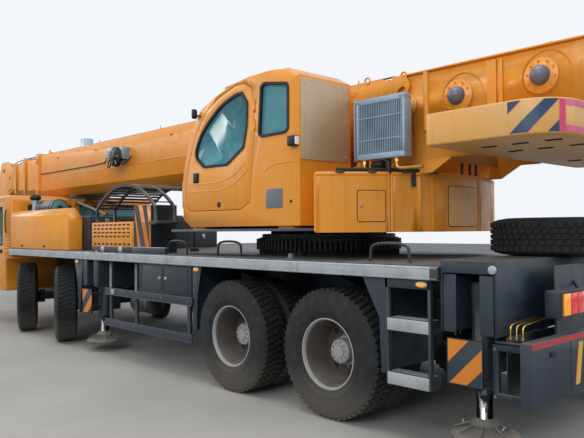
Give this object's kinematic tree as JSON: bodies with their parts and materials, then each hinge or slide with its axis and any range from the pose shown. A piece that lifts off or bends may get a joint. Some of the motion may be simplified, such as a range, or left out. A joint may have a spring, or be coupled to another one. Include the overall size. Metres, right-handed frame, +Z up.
{
  "type": "truck crane",
  "caption": "Truck crane with a telescopic boom, slewing cab, counterweight, outriggers and steered wheels, parked for the road.",
  "frame": {"origin": "on the ground, at the middle of the machine's length and width", "axes": "+X forward, the way it drives, +Y to the driver's left, +Z up"},
  "size_m": [13.4, 3.0696, 3.28],
  "materials": {
    "body_paint": "orange-yellow machine paint, worn at edges",
    "chassis_paint": "dark blue-grey chassis paint",
    "weight_paint": "orange-yellow paint on a cast slab",
    "tyre": "black tyre rubber",
    "rim_silver": "silver wheel paint",
    "rail_aluminium": "light grey edge rails",
    "axle_iron": "dark painted castings",
    "engine_iron": "engine castings",
    "cover_dark": "dark cover paint",
    "guard_dark": "dark painted flat bar and boxes",
    "gear_dark": "dark blue-grey tanks, guards and steps",
    "cab_glass": "teal tinted window glass",
    "trim_plastic": "black and grey cab trim and seats",
    "jack_chrome": "hard chromed rod",
    "cooler_grey": "light blue-grey finned cooler",
    "drum_steel": "rope drum with steel rope",
    "hook_steel": "painted hook block"
  },
  "bodies": {
    "chassis": {"chassis_frame": "chassis_paint", "edge_rails": "rail_aluminium", "outrigger_boxes": "chassis_paint", "axles": "axle_iron", "engine_block": "engine_iron", "engine_cover": "cover_dark", "side_hood": "body_paint", "driver_cab": "body_paint", "driver_glass": "cab_glass", "driver_interior": "trim_plastic", "deck_guards": "guard_dark", "side_gear": "gear_dark", "tail_frame": "chassis_paint", "spare_wheel": "tyre"},
    "wheel_1_left": {"tyre_1_left": "tyre", "rim_1_left": "rim_silver"},
    "steering_1_left": {"knuckle_1_left": "axle_iron"},
    "wheel_1_right": {"tyre_1_right": "tyre", "rim_1_right": "rim_silver"},
    "steering_1_right": {"knuckle_1_right": "axle_iron"},
    "wheel_2_left": {"tyre_2_left": "tyre", "rim_2_left": "rim_silver"},
    "steering_2_left": {"knuckle_2_left": "axle_iron"},
    "wheel_2_right": {"tyre_2_right": "tyre", "rim_2_right": "rim_silver"},
    "steering_2_right": {"knuckle_2_right": "axle_iron"},
    "wheel_3_left": {"tyre_3_left": "tyre", "rim_3_left": "rim_silver"},
    "wheel_3_right": {"tyre_3_right": "tyre", "rim_3_right": "rim_silver"},
    "wheel_4_left": {"tyre_4_left": "tyre", "rim_4_left": "rim_silver"},
    "wheel_4_right": {"tyre_4_right": "tyre", "rim_4_right": "rim_silver"},
    "beam_front_left": {"outrigger_beam_front_left": "chassis_paint"},
    "jack_front_left": {"outrigger_jack_front_left": "jack_chrome"},
    "beam_front_right": {"outrigger_beam_front_right": "chassis_paint"},
    "jack_front_right": {"outrigger_jack_front_right": "jack_chrome"},
    "beam_rear_left": {"outrigger_beam_rear_left": "chassis_paint"},
    "jack_rear_left": {"outrigger_jack_rear_left": "jack_chrome"},
    "beam_rear_right": {"outrigger_beam_rear_right": "chassis_paint"},
    "jack_rear_right": {"outrigger_jack_rear_right": "jack_chrome"},
    "door_left": {"driver_door_left": "body_paint"},
    "door_right": {"driver_door_right": "body_paint"},
    "superstructure": {"turntable": "body_paint", "counterweight": "weight_paint", "crane_cab": "body_paint", "crane_cab_glass": "cab_glass", "crane_cab_interior": "trim_plastic", "oil_cooler": "cooler_grey"},
    "crane_door": {"crane_cab_door": "body_paint"},
    "winch_main": {"winch_drum_main": "drum_steel"},
    "winch_second": {"winch_drum_second": "drum_steel"},
    "boom": {"boom_base": "body_paint"},
    "lift_barrel": {"lift_barrel": "body_paint"},
    "lift_rod": {"lift_rod": "jack_chrome"},
    "section_1": {"boom_section_1": "body_paint"},
    "section_2": {"boom_section_2": "body_paint"},
    "section_3": {"boom_section_3": "body_paint"},
    "hook": {"hook_block": "hook_steel"}
  },
  "joints": [
    {"name": "steer_1_left", "type": "hinge", "parent": "chassis", "child": "steering_1_left", "pos_m": [2.33, 1.02, 0.5625], "axis": [0, 0, 1], "range_deg": [-16, 60]},
    {"name": "roll_1_left", "type": "hinge", "parent": "steering_1_left", "child": "wheel_1_left", "pos_m": [2.40867, 1.21471, 0.5625], "axis": [0.3746, 0.9272, 0], "continuous": true},
    {"name": "steer_1_right", "type": "hinge", "parent": "chassis", "child": "steering_1_right", "pos_m": [2.33, -1.02, 0.5625], "axis": [0, 0, 1], "range_deg": [-16, 60]},
    {"name": "roll_1_right", "type": "hinge", "parent": "steering_1_right", "child": "wheel_1_right", "pos_m": [2.25133, -1.21471, 0.5625], "axis": [0.3746, 0.9272, 0], "continuous": true},
    {"name": "steer_2_left", "type": "hinge", "parent": "chassis", "child": "steering_2_left", "pos_m": [0.86, 1.02, 0.5625], "axis": [0, 0, 1], "range_deg": [-16, 60]},
    {"name": "roll_2_left", "type": "hinge", "parent": "steering_2_left", "child": "wheel_2_left", "pos_m": [0.93867, 1.21471, 0.5625], "axis": [0.3746, 0.9272, 0], "continuous": true},
    {"name": "steer_2_right", "type": "hinge", "parent": "chassis", "child": "steering_2_right", "pos_m": [0.86, -1.02, 0.5625], "axis": [0, 0, 1], "range_deg": [-16, 60]},
    {"name": "roll_2_right", "type": "hinge", "parent": "steering_2_right", "child": "wheel_2_right", "pos_m": [0.78133, -1.21471, 0.5625], "axis": [0.3746, 0.9272, 0], "continuous": true},
    {"name": "roll_3_left", "type": "hinge", "parent": "chassis", "child": "wheel_3_left", "pos_m": [-3.3, 1.055, 0.5625], "axis": [0, 1, 0], "continuous": true},
    {"name": "roll_3_right", "type": "hinge", "parent": "chassis", "child": "wheel_3_right", "pos_m": [-3.3, -1.055, 0.5625], "axis": [0, 1, 0], "continuous": true},
    {"name": "roll_4_left", "type": "hinge", "parent": "chassis", "child": "wheel_4_left", "pos_m": [-4.65, 1.055, 0.5625], "axis": [0, 1, 0], "continuous": true},
    {"name": "roll_4_right", "type": "hinge", "parent": "chassis", "child": "wheel_4_right", "pos_m": [-4.65, -1.055, 0.5625], "axis": [0, 1, 0], "continuous": true},
    {"name": "outrigger_front_left", "type": "slide", "parent": "chassis", "child": "beam_front_left", "axis": [0, 1, 0], "range_m": [0, 1.55]},
    {"name": "jack_front_left", "type": "slide", "parent": "beam_front_left", "child": "jack_front_left", "axis": [0, 0, -1], "range_m": [0, 0.5]},
    {"name": "outrigger_front_right", "type": "slide", "parent": "chassis", "child": "beam_front_right", "axis": [0, -1, 0], "range_m": [0, 1.55]},
    {"name": "jack_front_right", "type": "slide", "parent": "beam_front_right", "child": "jack_front_right", "axis": [0, 0, -1], "range_m": [0, 0.5]},
    {"name": "outrigger_rear_left", "type": "slide", "parent": "chassis", "child": "beam_rear_left", "axis": [0, 1, 0], "range_m": [0, 1.55]},
    {"name": "jack_rear_left", "type": "slide", "parent": "beam_rear_left", "child": "jack_rear_left", "axis": [0, 0, -1], "range_m": [0, 0.5]},
    {"name": "outrigger_rear_right", "type": "slide", "parent": "chassis", "child": "beam_rear_right", "axis": [0, -1, 0], "range_m": [0, 1.55]},
    {"name": "jack_rear_right", "type": "slide", "parent": "beam_rear_right", "child": "jack_rear_right", "axis": [0, 0, -1], "range_m": [0, 0.5]},
    {"name": "cab_door_left", "type": "hinge", "parent": "chassis", "child": "door_left", "pos_m": [4.323, 1.35, 1.2], "axis": [0, 0, -1], "range_deg": [0, 65]},
    {"name": "cab_door_right", "type": "hinge", "parent": "chassis", "child": "door_right", "pos_m": [4.323, -1.35, 1.2], "axis": [0, 0, 1], "range_deg": [0, 65]},
    {"name": "slew", "type": "hinge", "parent": "chassis", "child": "superstructure", "pos_m": [-3.38, 0, 1.59], "axis": [0, 0, 1], "continuous": true},
    {"name": "crane_door", "type": "hinge", "parent": "superstructure", "child": "crane_door", "pos_m": [-3.661, 1.33, 2.5], "axis": [0, 0, 1], "range_deg": [0, 85]},
    {"name": "winch_main", "type": "hinge", "parent": "superstructure", "child": "winch_main", "pos_m": [-5.52007, 0, 2.75], "axis": [0, 1, 0], "continuous": true},
    {"name": "winch_second", "type": "hinge", "parent": "superstructure", "child": "winch_second", "pos_m": [-6.25014, 0, 2.79], "axis": [0, 1, 0], "continuous": true},
    {"name": "boom_lift", "type": "hinge", "parent": "superstructure", "child": "boom", "pos_m": [-5.00016, 0, 2.75], "axis": [0, -1, 0], "range_deg": [0, 80]},
    {"name": "lift_barrel", "type": "hinge", "parent": "superstructure", "child": "lift_barrel", "pos_m": [-4.45004, 0, 1.8], "axis": [0, -1, 0], "range_deg": [0, 73.69]},
    {"name": "lift_rod", "type": "slide", "parent": "lift_barrel", "child": "lift_rod", "axis": [0.989, 0, 0.1482], "range_m": [0, 1.3634]},
    {"name": "telescope_1", "type": "slide", "parent": "boom", "child": "section_1", "axis": [1, 0, 0], "range_m": [0, 7]},
    {"name": "telescope_2", "type": "slide", "parent": "section_1", "child": "section_2", "axis": [1, 0, 0], "range_m": [0, 7]},
    {"name": "telescope_3", "type": "slide", "parent": "section_2", "child": "section_3", "axis": [1, 0, 0], "range_m": [0, 7]},
    {"name": "hook_hang", "type": "hinge", "parent": "section_3", "child": "hook", "pos_m": [6.47, 0, 2.27], "axis": [0, -1, 0], "range_deg": [-80, 0]}
  ],
  "couplings": [
    {"joint": "steer_1_right", "follows": "steer_1_left", "ratio": 1},
    {"joint": "steer_2_left", "follows": "steer_1_left", "ratio": 1},
    {"joint": "steer_2_right", "follows": "steer_1_left", "ratio": 1},
    {"joint": "lift_barrel", "follows": "boom_lift", "ratio": 0.92113},
    {"joint": "lift_rod", "follows": "boom_lift", "m_per_rad": 0.97646},
    {"joint": "telescope_3", "follows": "telescope_2", "ratio": 1},
    {"joint": "hook_hang", "follows": "boom_lift", "ratio": -1}
  ]
}
